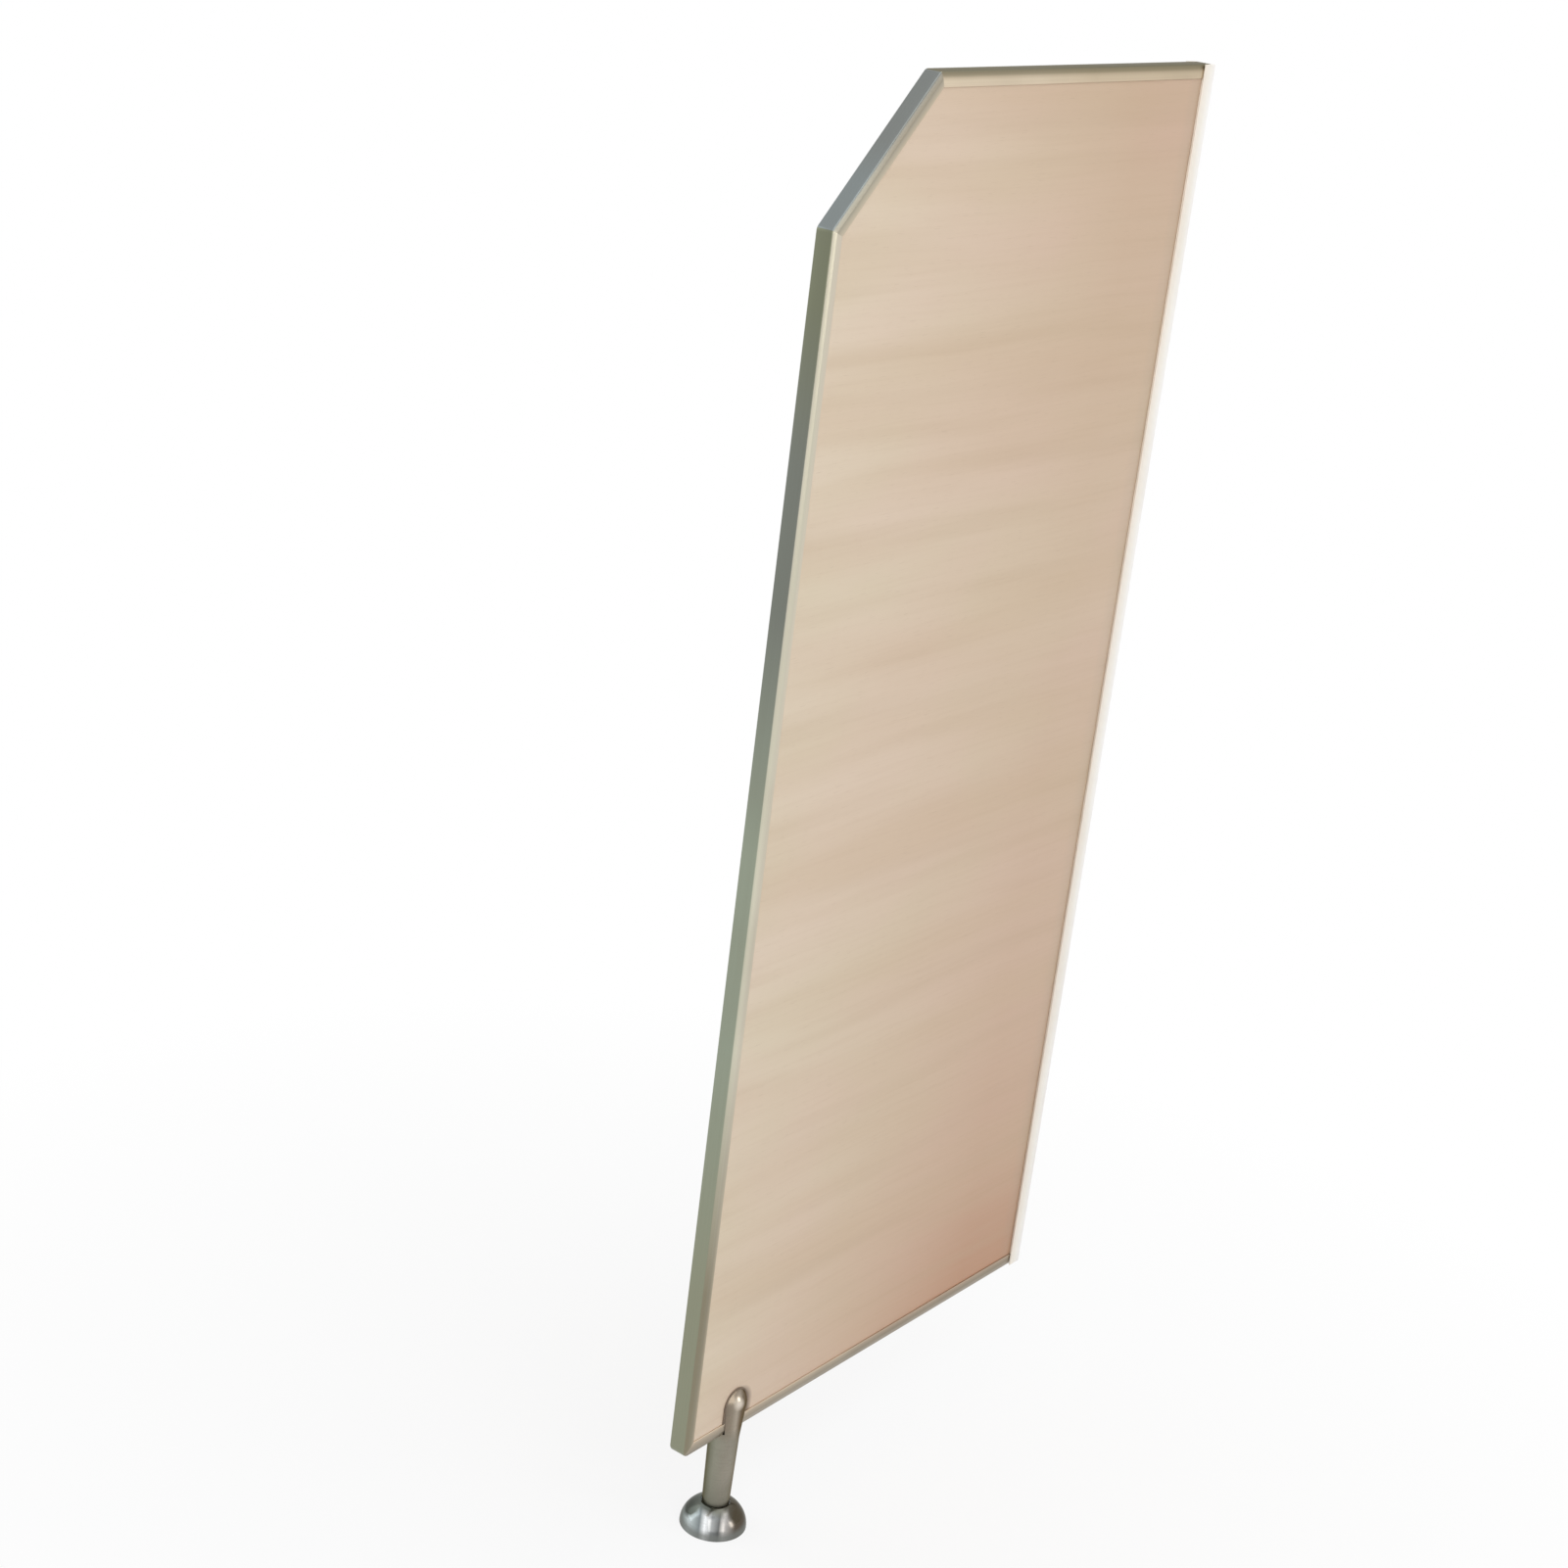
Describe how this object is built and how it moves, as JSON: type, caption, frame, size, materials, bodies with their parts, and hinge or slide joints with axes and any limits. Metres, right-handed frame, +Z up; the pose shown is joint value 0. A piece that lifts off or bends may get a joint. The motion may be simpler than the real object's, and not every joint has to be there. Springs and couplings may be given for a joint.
{
  "type": "urinal privacy screen",
  "caption": "Tall laminated board with a cut top front corner, edged in aluminium, held by a wall channel at the rear and a forked, height-adjustable foot under the front.",
  "frame": {"origin": "on the floor, at the centre of the foot's floor pad, which is on the panel's middle plane", "axes": "+X out of the face without screws, the one in the picture; +Y to the wall; +Z up. The wall is at Y 452.5 mm, the panel's front edge at Y -67.5 mm, and its lower and upper edges at Z 100 and 1270 mm"},
  "size_m": [0.06, 0.52, 1.27],
  "materials": {
    "core": "raw particle board",
    "laminate": "satin wood-grain laminate",
    "trim": "satin, champagne anodised",
    "channel": "satin, clear anodised",
    "post": "satin nickel",
    "polished": "polished",
    "plated_steel": "zinc plated",
    "screw_steel": "stainless",
    "spring_steel": "blackened",
    "pad_rubber": "matt black"
  },
  "bodies": {
    "screen": {"panel_core": "core", "laminate_right": "laminate", "laminate_left": "laminate", "front_trim": "trim", "corner_trim": "trim", "top_trim": "trim", "rear_trim": "trim", "bottom_trim": "trim", "lower_key": "plated_steel", "cut_corner_keys": "plated_steel", "rear_keys": "plated_steel", "wall_channel": "channel", "channel_screws": "screw_steel", "foot_post": "post", "clamp_pads": "pad_rubber", "clamp_screws": "screw_steel"},
    "base": {"base_plate": "plated_steel", "floor_pad": "pad_rubber"},
    "stud": {"levelling_stud": "plated_steel", "retaining_ring": "spring_steel"},
    "cover": {"dome_cover": "polished"}
  },
  "joints": [
    {"name": "level_travel", "type": "slide", "parent": "screen", "child": "base", "axis": [0, 0, -1], "range_m": [-0.0045, 0.0045]},
    {"name": "stud_turn", "type": "hinge", "parent": "base", "child": "stud", "pos_m": [0, 0, 0.01], "axis": [0, 0, -1], "range_deg": [-925, 925]},
    {"name": "cover_lift", "type": "slide", "parent": "base", "child": "cover", "axis": [0, 0, 1], "range_m": [0, 0.03]}
  ],
  "couplings": [
    {"joint": "level_travel", "follows": "stud_turn", "m_per_rad": 0.00027852}
  ]
}
